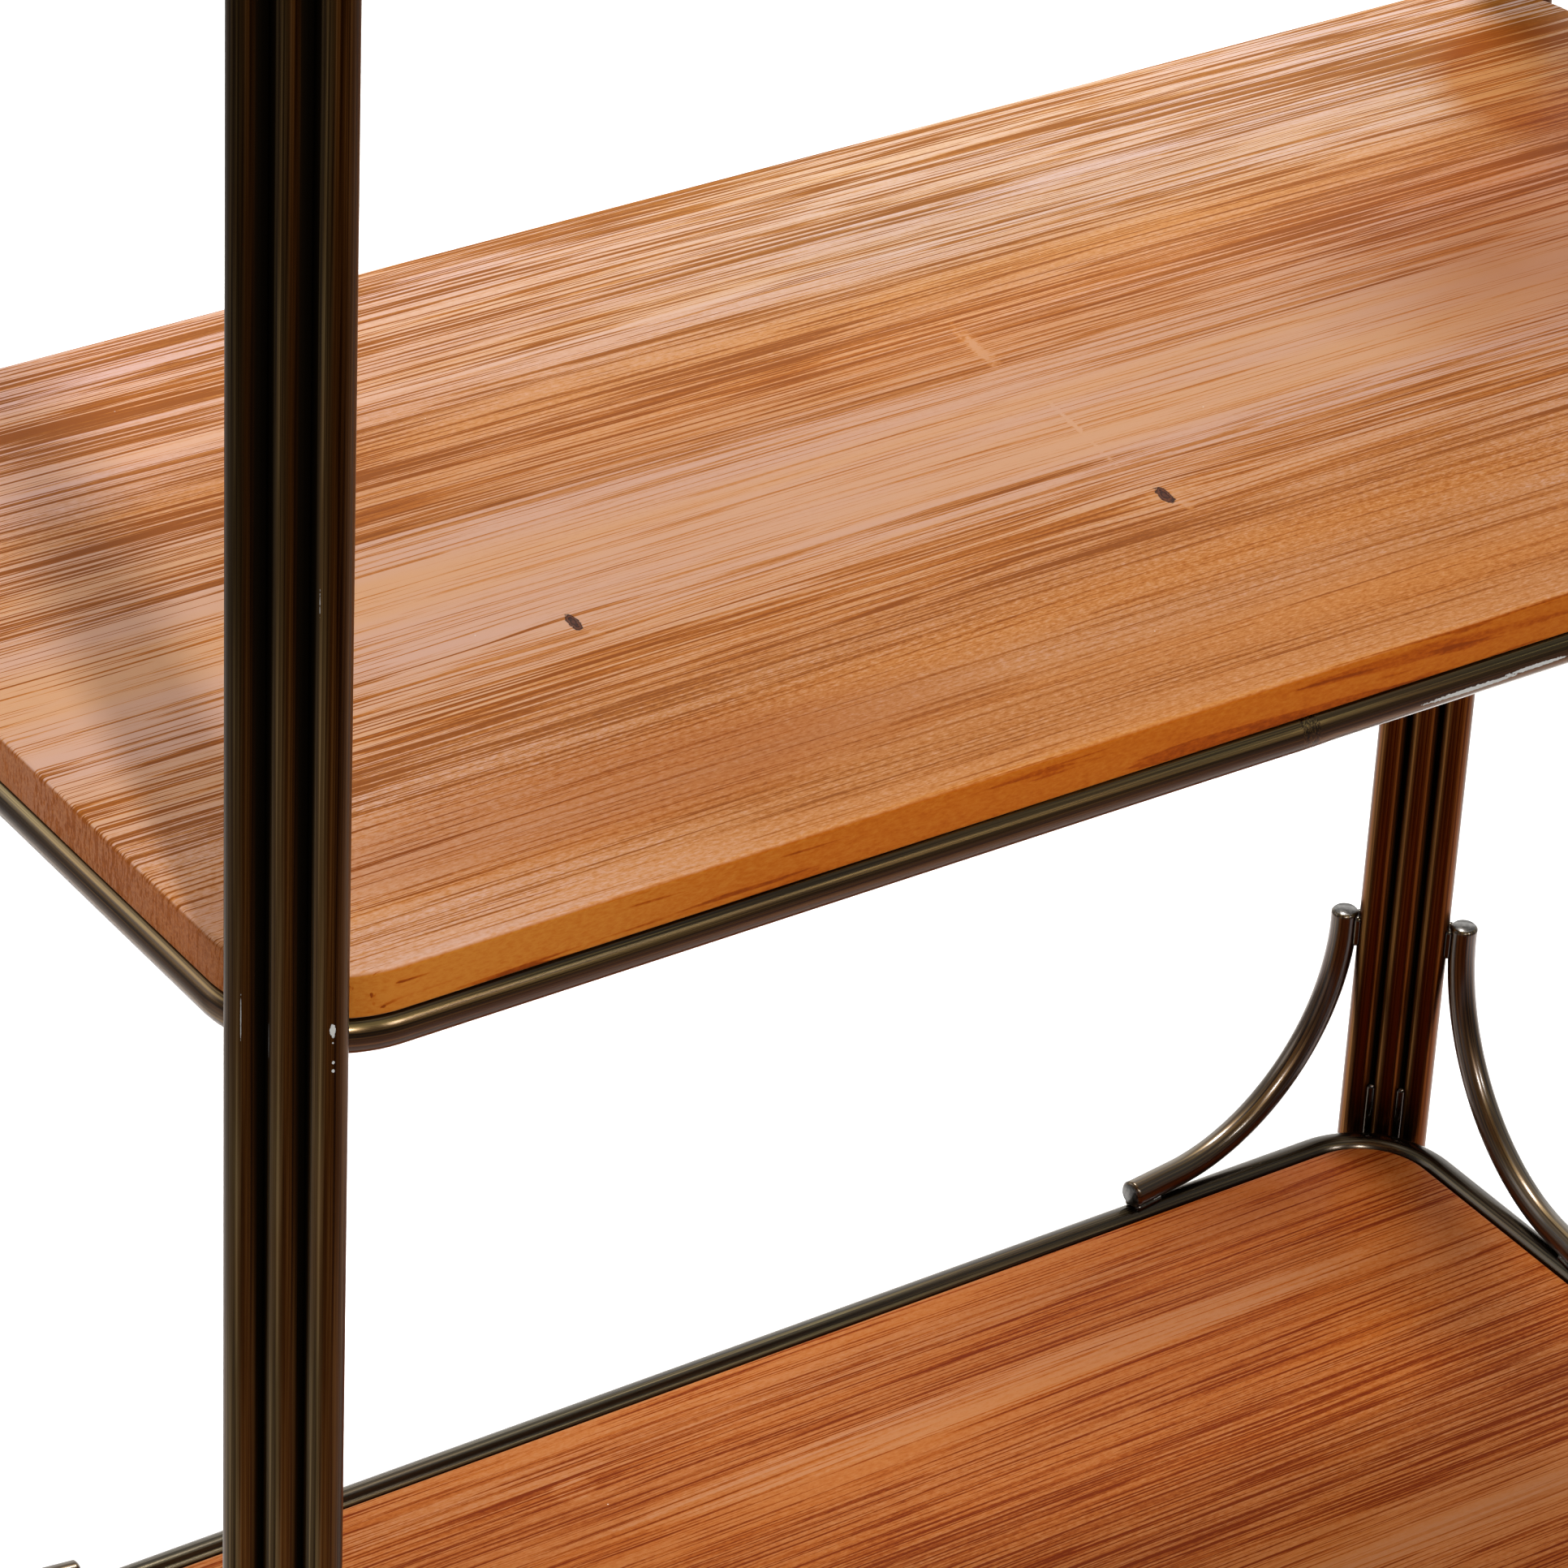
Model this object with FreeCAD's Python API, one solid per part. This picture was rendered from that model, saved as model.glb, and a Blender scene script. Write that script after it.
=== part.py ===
import FreeCAD, Part
import math
import os

os.makedirs("parts", exist_ok=True)

# Driving sizes, in millimetres.
# Shelf frame: a round tube bent to a rectangle, measured along its centre line.
frame_length = 860.0
frame_depth = 426.0
frame_bend_radius = 44.0
frame_tube_diameter = 15.0
frame_tube_wall = 1.5
vent_hole_diameter = 3.0

# Posts: three tubes side by side, standing outside each bend of the frames.
post_tube_diameter = 14.0
post_tube_wall = 1.2
tubes_per_post = 3

# Heights of the frame centre lines above the floor.
bottom_shelf_height = 185.0
counter_rise = 580.0
third_rise = 480.0
top_rise = 400.0
post_above_top_shelf = 80.0

# Boards.
board_thickness = 18.0
board_overhang = 4.0
board_top_ease = 2.0
board_bottom_ease = 1.0
inset_board_side_gap = 2.5

# Cross bars under the boards, and the wood screws through them.
bar_width = 30.0
bar_thickness = 4.0
bar_spacing_share = 0.5
bar_past_centre = 7.0
screw_shank_diameter = 4.0
screw_head_diameter = 8.0
screw_head_height = 2.5
screw_bite = 11.0
screw_row_share = 0.6
screws_per_bar = 3

# Braces: round bars bent through a quarter turn.
brace_diameter = 13.0
brace_bend_radius = 102.0
brace_upper_straight = 6.0
brace_lower_straight = 28.0
brace_end_chamfer = 1.2

# Feet.
pad_diameter = 28.0
pad_height = 8.0
pad_chamfer = 1.5
collar_across_flats = 13.0
collar_height = 6.0
stud_diameter = 8.0
stud_length = 30.0
spigot_diameter = 6.0
spigot_depth = 4.0
plate_thickness = 8.0
plate_margin = 1.0

# Plugs in the tops of the post tubes.
plug_dome_height = 3.0
plug_spigot_length = 8.0

# Clearances.
side_gap = 0.3
thread_gap = 0.06
collar_gap = 0.2
weld_gap = 0.12

# Weld beads.
groove_bead_radius = 2.4
groove_bead_depth = 4.2
groove_bead_length = 60.0
corner_bead_radius = 2.2
corner_bead_length = 24.0
corner_bead_out = 8.4
corner_bead_drop = 5.6
bar_bead_radius = 2.0
bar_bead_length = 22.0
brace_bead_radius = 2.0
brace_bead_offset = 3.2
brace_bead_length = 16.0

# Sizes that follow.
frame_radius = frame_tube_diameter / 2
post_radius = post_tube_diameter / 2
brace_radius = brace_diameter / 2
tube_pitch = post_tube_diameter + side_gap
counter_height = bottom_shelf_height + counter_rise
third_height = counter_height + third_rise
top_height = third_height + top_rise
collar_top = pad_height + collar_height
plate_bottom = collar_top + collar_gap
plate_top = plate_bottom + plate_thickness
post_top = top_height + frame_radius + board_thickness + post_above_top_shelf
post_length = post_top - plate_top
half_length = frame_length / 2
half_depth = frame_depth / 2
post_out = frame_bend_radius + frame_radius + side_gap + post_radius
inset_board_thickness = frame_tube_diameter
brace_seat = frame_radius + side_gap + brace_radius
brace_rise = brace_bend_radius + brace_upper_straight
brace_run = brace_bend_radius + brace_lower_straight

up = FreeCAD.Vector(0, 0, 1)
along_x = FreeCAD.Vector(1, 0, 0)
along_y = FreeCAD.Vector(0, 1, 0)

corners = {
    "front_left": (-1, -1),
    "front_right": (1, -1),
    "rear_left": (-1, 1),
    "rear_right": (1, 1),
}


def save(name, solids):
    """Write one piece, or one group of separate like pieces, to its file."""
    shape = solids[0] if len(solids) == 1 else Part.makeCompound(solids)
    shape.exportStep("parts/" + name + ".step")


def bend_centre(side_x, side_y, height):
    """Centre of the bend at one corner of a frame."""
    x = side_x * (half_length - frame_bend_radius)
    y = side_y * (half_depth - frame_bend_radius)
    return FreeCAD.Vector(x, y, height)


def outward(side_x, side_y):
    """Unit direction out of a corner, along its diagonal."""
    direction = FreeCAD.Vector(side_x, side_y, 0)
    direction.normalize()
    return direction


def across(side_x, side_y):
    """Unit direction along the row of tubes at a corner."""
    return up.cross(outward(side_x, side_y))


def post_centre(side_x, side_y, height):
    """Centre of the middle tube of a post."""
    return bend_centre(side_x, side_y, height) + outward(side_x, side_y) * post_out


def tube_centre(side_x, side_y, place, height):
    """Centre of one tube of a post; place counts from minus one to one."""
    return post_centre(side_x, side_y, height) + across(side_x, side_y) * (place * tube_pitch)


def rounded_outline(length, depth, radius, height):
    """Closed wire of a rectangle with rounded corners, at one height."""
    x = length / 2
    y = depth / 2
    slant = radius * (1 - math.sqrt(0.5))

    def point(px, py):
        return FreeCAD.Vector(px, py, height)

    edges = [
        Part.LineSegment(point(-x + radius, -y), point(x - radius, -y)).toShape(),
        Part.Arc(point(x - radius, -y), point(x - slant, -y + slant), point(x, -y + radius)).toShape(),
        Part.LineSegment(point(x, -y + radius), point(x, y - radius)).toShape(),
        Part.Arc(point(x, y - radius), point(x - slant, y - slant), point(x - radius, y)).toShape(),
        Part.LineSegment(point(x - radius, y), point(-x + radius, y)).toShape(),
        Part.Arc(point(-x + radius, y), point(-x + slant, y - slant), point(-x, y - radius)).toShape(),
        Part.LineSegment(point(-x, y - radius), point(-x, -y + radius)).toShape(),
        Part.Arc(point(-x, -y + radius), point(-x + slant, -y + slant), point(-x + radius, -y)).toShape(),
    ]
    return Part.Wire(edges)


def bent_bar(height, radius):
    """Solid round bar along the centre line of a frame."""
    straight_x = frame_length - 2 * frame_bend_radius
    straight_y = frame_depth - 2 * frame_bend_radius
    solids = []
    for side in (-1, 1):
        start_x = FreeCAD.Vector(-straight_x / 2, side * half_depth, height)
        solids.append(Part.makeCylinder(radius, straight_x, start_x, along_x))
        start_y = FreeCAD.Vector(side * half_length, -straight_y / 2, height)
        solids.append(Part.makeCylinder(radius, straight_y, start_y, along_y))
    for side_x, side_y in corners.values():
        centre = bend_centre(side_x, side_y, height)
        start = centre + along_x * (side_x * frame_bend_radius)
        profile = Part.Face(Part.Wire(Part.makeCircle(radius, start, along_y)))
        turn = 90 * side_x * side_y
        solids.append(profile.revolve(centre, up, turn))
    whole = solids[0].multiFuse(solids[1:])
    return whole.removeSplitter().Solids[0]


def capsule(first, last, radius):
    """Round bead with ball ends between two points."""
    way = last - first
    core = Part.makeCylinder(radius, way.Length, first, way)
    ends = [Part.makeSphere(radius, first), Part.makeSphere(radius, last)]
    return core.multiFuse(ends).removeSplitter()


def bead(centre, direction, length, radius, neighbours):
    """Weld bead trimmed clear of the pieces that it joins."""
    half = direction * (length / 2 - radius)
    shape = capsule(centre - half, centre + half, radius).cut(neighbours)
    return max(shape.Solids, key=lambda solid: solid.Volume)


def mirrored(shape, side_x, side_y):
    """Copy of a front left piece, mirrored to the corner on the given sides."""
    middle = FreeCAD.Vector(0, 0, 0)
    copy = shape.copy()
    if side_x > 0:
        copy = copy.mirror(middle, along_x)
    if side_y > 0:
        copy = copy.mirror(middle, along_y)
    return copy


def post_tube(side_x, side_y, place):
    """One tube of a post."""
    base = tube_centre(side_x, side_y, place, plate_top)
    outer = Part.makeCylinder(post_radius, post_length, base, up)
    inner = Part.makeCylinder(post_radius - post_tube_wall, post_length, base, up)
    return outer.cut(inner)


def post_tube_clear(side_x, side_y, place, height):
    """Short stretch of a post tube's outside, a weld gap larger."""
    reach = groove_bead_length + brace_rise
    base = tube_centre(side_x, side_y, place, height - reach)
    return Part.makeCylinder(post_radius + weld_gap, 2 * reach, base, up)


def post_plug(side_x, side_y, place):
    """Domed plug that closes a post tube."""
    base = tube_centre(side_x, side_y, place, post_top)
    ball_radius = (post_radius ** 2 + plug_dome_height ** 2) / (2 * plug_dome_height)
    ball = Part.makeSphere(ball_radius, base + up * (plug_dome_height - ball_radius))
    dome = ball.common(Part.makeCylinder(post_radius, plug_dome_height, base, up))
    spigot_radius = post_radius - post_tube_wall - side_gap
    spigot = Part.makeCylinder(spigot_radius, plug_spigot_length, base, up * -1)
    return dome.fuse(spigot).removeSplitter().Solids[0]


def foot_plate(side_x, side_y):
    """Plate with round ends under a post, tapped for the stud."""
    radius = post_radius + plate_margin
    row = across(side_x, side_y)
    centre = post_centre(side_x, side_y, plate_bottom)
    reach = tube_pitch * (tubes_per_post - 1) / 2
    ends = []
    for end in (-1, 1):
        ends.append(Part.makeCylinder(radius, plate_thickness, centre + row * (end * reach), up))
    side = outward(side_x, side_y) * radius
    first = centre - row * reach
    last = centre + row * reach
    outline = Part.makePolygon([first - side, last - side, last + side, first + side, first - side])
    middle = Part.Face(outline).extrude(up * plate_thickness)
    hole_radius = stud_diameter / 2 + thread_gap
    hole = Part.makeCylinder(hole_radius, plate_thickness, centre, up)
    return middle.multiFuse(ends).removeSplitter().cut(hole).Solids[0]


def foot_pad(side_x, side_y):
    """Round pad that stands on the floor, with a socket in its top."""
    base = post_centre(side_x, side_y, 0)
    pad = Part.makeCylinder(pad_diameter / 2, pad_height, base, up)
    top_edges = [edge for edge in pad.Edges if edge.BoundBox.ZMin > pad_height / 2]
    pad = pad.makeChamfer(pad_chamfer, top_edges)
    socket_radius = spigot_diameter / 2 + side_gap
    socket_floor = base + up * (pad_height - spigot_depth)
    return pad.cut(Part.makeCylinder(socket_radius, spigot_depth, socket_floor, up)).Solids[0]


def foot_stud(side_x, side_y):
    """Levelling stud with a hexagon collar and a spigot for the pad."""
    base = post_centre(side_x, side_y, pad_height)
    corner_radius = collar_across_flats / math.sqrt(3)
    points = []
    for step in range(7):
        angle = step * math.pi / 3
        points.append(base + FreeCAD.Vector(math.cos(angle), math.sin(angle), 0) * corner_radius)
    collar = Part.Face(Part.makePolygon(points)).extrude(up * collar_height)
    stud = Part.makeCylinder(stud_diameter / 2, stud_length, base + up * collar_height, up)
    spigot = Part.makeCylinder(spigot_diameter / 2, spigot_depth, base, up * -1)
    return collar.multiFuse([stud, spigot]).removeSplitter().Solids[0]


def shelf_frame(height, solid_bar):
    """Frame tube, with a vent hole on the inner side at the back."""
    inner = bent_bar(height, frame_radius - frame_tube_wall)
    vent_start = FreeCAD.Vector(0, half_depth, height)
    vent = Part.makeCylinder(vent_hole_diameter / 2, frame_tube_diameter, vent_start, along_y * -1)
    return solid_bar.cut(inner).cut(vent).Solids[0]


def bar_places():
    """Places of the two cross bars along the shelf."""
    return (-frame_length * bar_spacing_share / 2, frame_length * bar_spacing_share / 2)


def screw_places():
    """Places of the screws along a cross bar."""
    step = frame_depth * screw_row_share / (screws_per_bar - 1)
    return [(place - (screws_per_bar - 1) / 2) * step for place in range(screws_per_bar)]


def board(height, length, depth, radius, thickness):
    """Board with rounded corners, eased edges and blind pilot holes from below."""
    outline = rounded_outline(length, depth, radius, height)
    slab = Part.Face(outline).extrude(up * thickness)
    middle = height + thickness / 2
    top_edges = [edge for edge in slab.Edges if edge.BoundBox.ZMin > middle]
    slab = slab.makeFillet(board_top_ease, top_edges)
    low_edges = [edge for edge in slab.Edges if edge.BoundBox.ZMax < middle]
    slab = slab.makeFillet(board_bottom_ease, low_edges)
    for x in bar_places():
        for y in screw_places():
            start = FreeCAD.Vector(x, y, height)
            pilot_radius = screw_shank_diameter / 2 + side_gap
            slab = slab.cut(Part.makeCylinder(pilot_radius, screw_bite + side_gap, start, up))
    return slab.Solids[0]


def cross_bar(x, top, reach):
    """Flat bar from front to back, with a clearance hole for each screw."""
    corner = FreeCAD.Vector(x - bar_width / 2, -reach, top - bar_thickness)
    flat = Part.makeBox(bar_width, 2 * reach, bar_thickness, corner)
    for y in screw_places():
        start = FreeCAD.Vector(x, y, top - bar_thickness)
        hole_radius = screw_shank_diameter / 2 + side_gap
        flat = flat.cut(Part.makeCylinder(hole_radius, bar_thickness, start, up))
    return flat.Solids[0]


def wood_screw(x, y, bar_top):
    """Screw whose head bears on the underside of a cross bar."""
    seat = FreeCAD.Vector(x, y, bar_top - bar_thickness)
    shank = Part.makeCylinder(screw_shank_diameter / 2, bar_thickness + screw_bite, seat, up)
    head = Part.makeCylinder(screw_head_diameter / 2, screw_head_height, seat, up * -1)
    return shank.fuse(head).removeSplitter().Solids[0]


def brace_frame(side_x, side_y, run):
    """Post tube, upper end and run direction of a brace; run is x or y."""
    centre = post_centre(side_x, side_y, 0)
    row = across(side_x, side_y) * tube_pitch
    axis = along_x * -side_x if run == "x" else along_y * -side_y
    sideways = along_y * side_y if run == "x" else along_x * side_x
    line = half_depth if run == "x" else half_length
    tube = max((centre + row, centre - row), key=lambda place: place.dot(sideways))
    beside = tube - centre
    beside.normalize()
    end = tube + beside * (post_radius + brace_radius + side_gap)
    slant = (end.dot(sideways) - line) / brace_run
    along = axis * math.sqrt(1 - slant ** 2) - sideways * slant
    return tube, end, along


def round_brace(side_x, side_y, run, height, radius):
    """Round bar from beside a post's outer tube, bent to come down on the frame."""
    tube, end, along = brace_frame(side_x, side_y, run)
    foot = FreeCAD.Vector(end.x, end.y, height + brace_seat)
    bend_upper = foot + up * brace_bend_radius
    bend_lower = foot + along * brace_bend_radius
    turn_centre = bend_upper + along * brace_bend_radius
    profile = Part.Face(Part.Wire(Part.makeCircle(radius, bend_upper, up)))
    bend = profile.revolve(turn_centre, along.cross(up), 90)
    upper = Part.makeCylinder(radius, brace_upper_straight, bend_upper, up)
    lower = Part.makeCylinder(radius, brace_lower_straight, bend_lower, along)
    bar = upper.multiFuse([bend, lower]).removeSplitter().Solids[0]
    return bar, foot + up * brace_rise, foot + along * brace_run


def brace(side_x, side_y, run, height):
    """Brace with a chamfer at both ends."""
    bar, upper, tip = round_brace(side_x, side_y, run, height, brace_radius)
    rims = []
    for edge in bar.Edges:
        middle_point = edge.CenterOfMass
        if min(middle_point.distanceToPoint(upper), middle_point.distanceToPoint(tip)) < brace_end_chamfer:
            rims.append(edge)
    return bar.makeChamfer(brace_end_chamfer, rims).Solids[0]


def brace_beads(side_x, side_y, run, height, frame_clear):
    """Beads on both sides of a brace, at its foot and at its upper end."""
    tube, end, along = brace_frame(side_x, side_y, run)
    sideways = along.cross(up)
    foot = FreeCAD.Vector(end.x, end.y, height + frame_radius + side_gap / 2)
    place = foot + along * (brace_run - brace_end_chamfer - brace_bead_length / 2)
    toward = end - tube
    toward.normalize()
    across_joint = toward.cross(up)
    top = height + brace_seat + brace_rise - brace_end_chamfer - brace_bead_length / 2
    contact = tube + toward * (post_radius + side_gap / 2)
    row_place = -1 if (tube - post_centre(side_x, side_y, 0)).dot(across(side_x, side_y)) < 0 else 1
    tube_clear = post_tube_clear(side_x, side_y, row_place, top)
    bar_clear = round_brace(side_x, side_y, run, height, brace_radius + weld_gap)[0]
    beads = []
    for side in (-1, 1):
        centre = place + sideways * (side * brace_bead_offset)
        beads.append(bead(centre, along, brace_bead_length, brace_bead_radius, [frame_clear, bar_clear]))
        beside = contact + across_joint * (side * brace_bead_offset)
        centre = FreeCAD.Vector(beside.x, beside.y, top)
        beads.append(bead(centre, up, brace_bead_length, brace_bead_radius, [tube_clear, bar_clear]))
    return beads


def post_beads(height, frame_clear):
    """Beads in the post grooves and under each crossing of one shelf."""
    beads = []
    for side_x, side_y in corners.values():
        out = outward(side_x, side_y)
        row = across(side_x, side_y)
        centre = post_centre(side_x, side_y, height)
        tubes = [post_tube_clear(side_x, side_y, place, height) for place in (-1, 0, 1)]
        for groove in (-1, 1):
            spot = centre + row * (groove * tube_pitch / 2) - out * groove_bead_depth
            pair = [tubes[1], tubes[1 + groove]]
            beads.append(bead(spot, up, groove_bead_length, groove_bead_radius, pair))
        spot = centre - out * corner_bead_out - up * corner_bead_drop
        near = tubes + [frame_clear]
        beads.append(bead(spot, row, corner_bead_length, corner_bead_radius, near))
    return beads


def bar_beads(bars, height, offset_y, offset_z, frame_clear):
    """One bead at each end of each cross bar."""
    beads = []
    for bar, x in zip(bars, bar_places()):
        for side in (-1, 1):
            spot = FreeCAD.Vector(x, side * (half_depth + offset_y), height + offset_z)
            beads.append(bead(spot, along_x, bar_bead_length, bar_bead_radius, [frame_clear, bar]))
    return beads


# Posts, plugs and feet.
tube_names = {-1: "a", 0: "b", 1: "c"}
plugs = []
for corner_name, (side_x, side_y) in corners.items():
    for place, letter in tube_names.items():
        save("post_" + corner_name + "_tube_" + letter, [post_tube(side_x, side_y, place)])
        plugs.append(post_plug(side_x, side_y, place))
    save("foot_plate_" + corner_name, [foot_plate(side_x, side_y)])
    save("foot_stud_" + corner_name, [foot_stud(side_x, side_y)])
    save("foot_pad_" + corner_name, [foot_pad(side_x, side_y)])
save("post_top_plugs", plugs)

# Shelves.
shelves = {
    "bottom": bottom_shelf_height,
    "counter": counter_height,
    "third": third_height,
    "top": top_height,
}
for shelf_name, height in shelves.items():
    inset = shelf_name == "bottom"
    solid_bar = bent_bar(height, frame_radius)
    frame_clear = bent_bar(height, frame_radius + weld_gap)
    save("frame_" + shelf_name, [shelf_frame(height, solid_bar)])
    if inset:
        shrink = frame_radius + inset_board_side_gap
        bar_top = height - frame_radius - side_gap
        bar_reach = half_depth + bar_past_centre
        length = frame_length - 2 * shrink
        depth = frame_depth - 2 * shrink
        radius = frame_bend_radius - shrink
        panel = board(bar_top, length, depth, radius, inset_board_thickness)
        bead_y = bar_past_centre - bar_bead_radius
        bead_z = -math.sqrt((frame_radius + bar_bead_radius / 2) ** 2 - bead_y ** 2)
    else:
        bar_top = height + frame_radius
        low_edge = frame_radius - bar_thickness
        bar_reach = half_depth - math.sqrt(frame_radius ** 2 - low_edge ** 2) - side_gap
        length = frame_length + 2 * board_overhang
        depth = frame_depth + 2 * board_overhang
        radius = frame_bend_radius + board_overhang
        panel = board(bar_top, length, depth, radius, board_thickness)
        bead_z = low_edge - bar_bead_radius / 2
        bead_y = -math.sqrt((frame_radius + bar_bead_radius / 2) ** 2 - bead_z ** 2)
    save("board_" + shelf_name, [panel])
    bars = [cross_bar(x, bar_top, bar_reach) for x in bar_places()]
    save("bar_" + shelf_name + "_left", [bars[0]])
    save("bar_" + shelf_name + "_right", [bars[1]])
    screws = [wood_screw(x, y, bar_top) for x in bar_places() for y in screw_places()]
    save("screws_" + shelf_name, screws)
    welds = post_beads(height, frame_clear)
    welds = welds + bar_beads(bars, height, bead_y, bead_z, frame_clear)
    save("welds_" + shelf_name, welds)
    if inset:
        brace_welds = []
        for run in ("x", "y"):
            first_brace = brace(-1, -1, run, height)
            first_beads = brace_beads(-1, -1, run, height, frame_clear)
            for corner_name, (side_x, side_y) in corners.items():
                save("brace_" + corner_name + "_" + run, [mirrored(first_brace, side_x, side_y)])
                brace_welds = brace_welds + [mirrored(weld, side_x, side_y) for weld in first_beads]
        save("welds_braces", brace_welds)
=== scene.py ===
# %% [markdown]
# # A bakers rack, dressed from its solids
# The imported solids give every place and size. This lesson lays smoother surfaces over the
# tubes, boards and braces, keeps the solids of the welds and the small hardware, and gives every
# piece a finish made of nodes.

# %% Load the imported solids
import math
import bmesh
import bpy
import numpy as np
from mathutils import Matrix, Vector


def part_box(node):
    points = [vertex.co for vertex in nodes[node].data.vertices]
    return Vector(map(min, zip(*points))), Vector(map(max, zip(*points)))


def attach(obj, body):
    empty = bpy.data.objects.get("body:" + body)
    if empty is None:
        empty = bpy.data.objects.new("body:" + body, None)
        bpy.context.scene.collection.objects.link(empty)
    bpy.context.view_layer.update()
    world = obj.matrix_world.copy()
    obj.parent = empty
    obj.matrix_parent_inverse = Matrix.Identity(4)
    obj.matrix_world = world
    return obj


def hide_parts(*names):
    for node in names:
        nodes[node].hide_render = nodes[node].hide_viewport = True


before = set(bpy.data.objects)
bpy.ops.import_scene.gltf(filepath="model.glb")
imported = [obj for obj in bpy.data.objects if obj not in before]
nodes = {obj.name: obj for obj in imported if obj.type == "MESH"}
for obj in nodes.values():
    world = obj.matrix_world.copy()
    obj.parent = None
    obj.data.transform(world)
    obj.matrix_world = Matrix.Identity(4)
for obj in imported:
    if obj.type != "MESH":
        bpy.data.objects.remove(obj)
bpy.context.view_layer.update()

# %% [markdown]
# ## Sizes
# Sizes could be typed in again, but then a change to the solids would leave the surfaces
# behind. So they are read from the solids' own boxes. A shelf frame's box gives its tube's
# thickness and the length and depth of its centre line. A post tube's box gives that tube's
# thickness and place.

# %% Sizes read from the solids
def box(name):
    """Lowest and highest corner of a solid, as arrays in metres."""
    low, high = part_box(name)
    return np.array(low), np.array(high)


shelf_names = ["bottom", "counter", "third", "top"]
corner_sides = {"front_left": (-1, -1), "front_right": (1, -1),
                "rear_left": (-1, 1), "rear_right": (1, 1)}
low, high = box("frame_counter")
frame_r = (high[2] - low[2]) / 2
half_x = high[0] - frame_r
half_y = high[1] - frame_r
shelf_z = {name: float(box("frame_" + name)[0][2] + frame_r) for name in shelf_names}
low, high = box("post_front_left_tube_b")
post_r = (high[0] - low[0]) / 2
print("frame tube", 2 * frame_r, "post tube", 2 * post_r)

# %% [markdown]
# ## From arrays to meshes
# Every new surface starts as a grid of points in an array. Placing the points one by one would be
# slow and hard to repeat, so one helper turns a whole array into a mesh. It can also keep numbers
# at the points, which a finish reads later as attributes.

# %% Mesh from arrays
merge_distance = 1e-6


def mesh_object(name, points, faces, straight=None, marks=None):
    """Mesh from arrays: doubled points merged, faces turned outwards, shading smooth."""
    mesh = bpy.data.meshes.new(name)
    mesh.from_pydata(points.tolist(), [], faces.tolist())
    for mark, values in (marks or {}).items():
        layer = mesh.attributes.new(mark, "FLOAT", "POINT")
        layer.data.foreach_set("value", values.astype(np.float32).ravel())
    if straight is not None:
        layer = mesh.attributes.new("straight", "FLOAT_VECTOR", "POINT")
        layer.data.foreach_set("vector", straight.astype(np.float32).ravel())
    work = bmesh.new()
    work.from_mesh(mesh)
    bmesh.ops.remove_doubles(work, verts=work.verts, dist=merge_distance)
    bmesh.ops.recalc_face_normals(work, faces=work.faces)
    work.to_mesh(mesh)
    work.free()
    mesh.polygons.foreach_set("use_smooth", np.ones(len(mesh.polygons), dtype=bool))
    piece = bpy.data.objects.new(name, mesh)
    bpy.context.scene.collection.objects.link(piece)
    return piece


def grid_faces(rows, columns, wrap_rows):
    """Quads of a grid whose columns wrap round, and whose rows may."""
    last = rows if wrap_rows else rows - 1
    i, j = np.meshgrid(np.arange(last), np.arange(columns), indexing="ij")
    i, j = i.ravel(), j.ravel()
    i_next, j_next = (i + 1) % rows, (j + 1) % columns
    return np.stack([i * columns + j, i_next * columns + j,
                     i_next * columns + j_next, i * columns + j_next], axis=1)


print("faces of a tube of 3 rings:", len(grid_faces(3, 8, False)))

# %% [markdown]
# ## Round bars
# Most of this rack is round bar, so one helper does most of the work: it carries a circle along a
# path. A curve with a round bevel could do that too, but here the radius may change on the way,
# which gives chamfered ends, a swollen weld and closed tips. Each point also remembers where it
# would lie if the bar were pulled straight, so that brushed lines can follow every bend.

# %% Circle carried along a path
def swept(name, path, side, rise, radii, sides, closed=False, marks=None):
    """Bar as a mesh: point = path + radius (cos a side + sin a rise), with a once round."""
    angle = np.linspace(0, 2 * np.pi, sides, endpoint=False)
    cosine, sine = np.cos(angle)[None, :], np.sin(angle)[None, :]
    ring = cosine[:, :, None] * side[:, None, :] + sine[:, :, None] * rise[:, None, :]
    points = path[:, None, :] + radii[:, None, None] * ring
    steps = np.linalg.norm(np.diff(path, axis=0), axis=1)
    length = np.concatenate([[0], np.cumsum(steps)])[:, None]
    full = radii.max()
    straight = np.stack(np.broadcast_arrays(full * cosine, full * sine, length), axis=2)
    faces = grid_faces(len(path), sides, closed)
    return mesh_object(name, points.reshape(-1, 3), faces, straight.reshape(-1, 3), marks)


def dress(piece, finish, slot, *replaced):
    """A piece takes its finish, rides on the rack and stands for the solids it covers."""
    piece.data.materials.append(finish)
    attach(piece, "rack")
    if replaced:
        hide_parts(*replaced)


# %% [markdown]
# ## Node helpers
# A finish is a tree of nodes. Nodes can be joined by hand in the shader editor, but a script
# can repeat a tree with other colours. A wire is one output of a node. Adding or multiplying
# wires puts in one more node, so a formula for a finish can be written as a formula.

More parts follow.
